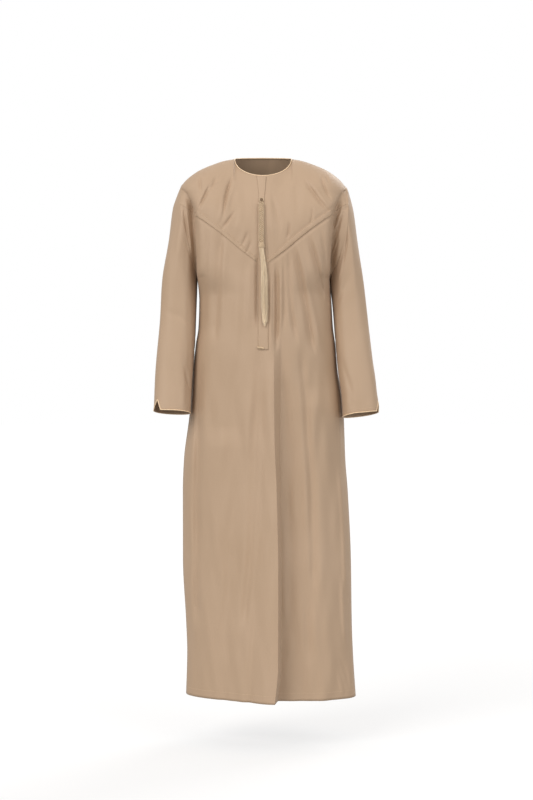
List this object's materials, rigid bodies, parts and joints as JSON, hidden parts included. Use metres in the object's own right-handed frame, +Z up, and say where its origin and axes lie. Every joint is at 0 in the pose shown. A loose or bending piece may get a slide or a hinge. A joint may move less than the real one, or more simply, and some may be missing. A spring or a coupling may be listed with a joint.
{
  "type": "thobe robe",
  "caption": "Long collarless robe in its hollow worn form, with set-in sleeves, notched cuffs, V seam, neck placket and hanging tassel.",
  "frame": {"origin": "on the centre line between the sides of the neck, where the wearer's shoulders hold the robe", "axes": "+Z up, front faces -Y, +X towards the wearer's left sleeve"},
  "size_m": [0.5794, 0.3119, 1.4027],
  "materials": {
    "robe_cloth": "smooth fine twill with a soft sheen",
    "piping_cord": "satin cord",
    "tassel_silk": "silky thread",
    "button_shell": "satin"
  },
  "bodies": {
    "root": {"front": "robe_cloth", "yoke_right": "robe_cloth", "yoke_left": "robe_cloth", "back": "robe_cloth", "sleeve_right": "robe_cloth", "sleeve_left": "robe_cloth", "placket": "robe_cloth", "neck_piping": "piping_cord", "cuff_piping_right": "piping_cord", "cuff_piping_left": "piping_cord", "top_button": "button_shell", "tassel_braid": "tassel_silk", "tassel": "tassel_silk"}
  },
  "joints": []
}
